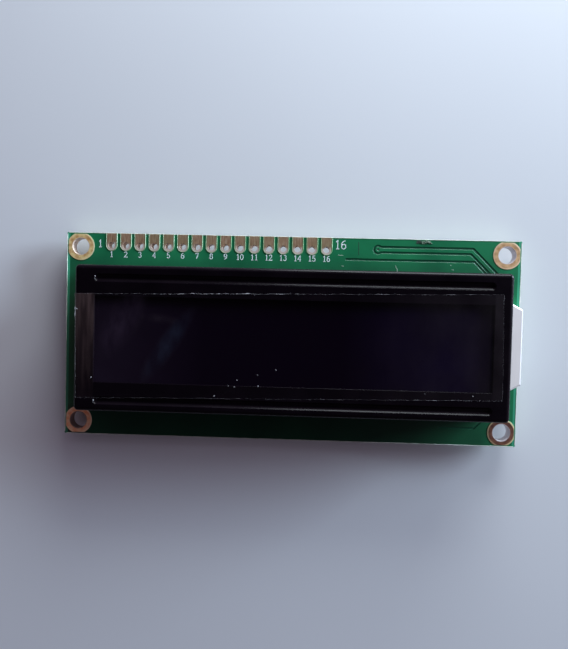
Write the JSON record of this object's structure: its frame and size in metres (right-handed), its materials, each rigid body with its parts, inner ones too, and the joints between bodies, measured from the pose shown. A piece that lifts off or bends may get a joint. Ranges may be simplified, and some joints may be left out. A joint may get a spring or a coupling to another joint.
{
  "type": "character lcd module",
  "caption": "Character display module: a green circuit board with a solder-pad terminal row and a glass display cell under a black folded bezel, side-lit, fixed by corner holes.",
  "frame": {"origin": "middle of the four mounting holes, on the circuit board's rear face", "axes": "+X along the terminal row, away from the first terminal; +Y towards the terminal row; +Z out of the display"},
  "size_m": [0.08, 0.036, 0.0102],
  "materials": {
    "solder_mask": "glossy green solder mask on a glass-fibre laminate",
    "bezel_paint": "black paint, satin",
    "clear_film": "clear peel-off film, glossy, a little creased",
    "polariser": "dark smooth film",
    "cell_glass": "polished float glass",
    "seal_epoxy": "cured epoxy",
    "white_foil": "white film",
    "clear_acrylic": "clear moulded acrylic",
    "white_plastic": "white moulded plastic, satin",
    "strip_rubber": "layered conductive rubber",
    "gold_plate": "thin gold plating, slightly dull",
    "pad_copper": "gold-washed copper, dull",
    "black_epoxy": "poured epoxy, semi-gloss",
    "resistor_black": "glazed ceramic with tinned ends",
    "capacitor_tan": "ceramic with tinned ends",
    "tin": "tin solder, bright",
    "lamp_resin": "cast resin"
  },
  "bodies": {
    "root": {"circuit_board": "solder_mask", "bezel": "bezel_paint", "protective_film": "clear_film", "front_polariser": "polariser", "upper_glass": "cell_glass", "cell_seal": "seal_epoxy", "lower_glass": "cell_glass", "rear_polariser": "polariser", "diffuser_sheet": "white_foil", "light_guide": "clear_acrylic", "reflector_sheet": "white_foil", "backlight_frame": "white_plastic", "lamp_board": "solder_mask", "contact_strip_upper": "strip_rubber", "contact_strip_lower": "strip_rubber", "contact_row_upper": "gold_plate", "contact_row_lower": "gold_plate", "controller_dome": "black_epoxy", "driver_dome": "black_epoxy", "oscillator_resistor": "resistor_black", "backlight_resistor": "resistor_black", "supply_capacitor": "capacitor_tan", "component_pads": "tin", "mounting_land_1": "gold_plate", "mounting_land_2": "gold_plate", "mounting_land_3": "gold_plate", "mounting_land_4": "gold_plate", "terminal_pad_01": "pad_copper", "terminal_pad_02": "pad_copper", "terminal_pad_03": "pad_copper", "terminal_pad_04": "pad_copper", "terminal_pad_05": "pad_copper", "terminal_pad_06": "pad_copper", "terminal_pad_07": "pad_copper", "terminal_pad_08": "pad_copper", "terminal_pad_09": "pad_copper", "terminal_pad_10": "pad_copper", "terminal_pad_11": "pad_copper", "terminal_pad_12": "pad_copper", "terminal_pad_13": "pad_copper", "terminal_pad_14": "pad_copper", "terminal_pad_15": "pad_copper", "terminal_pad_16": "pad_copper", "lamp_1": "lamp_resin", "lamp_2": "lamp_resin", "lamp_3": "lamp_resin", "bias_resistor_1": "resistor_black", "bias_resistor_2": "resistor_black", "bias_resistor_3": "resistor_black", "bias_resistor_4": "resistor_black", "bias_resistor_5": "resistor_black", "backlight_lead_1": "tin", "lead_joint_1": "tin", "backlight_lead_2": "tin", "lead_joint_2": "tin"}
  },
  "joints": []
}
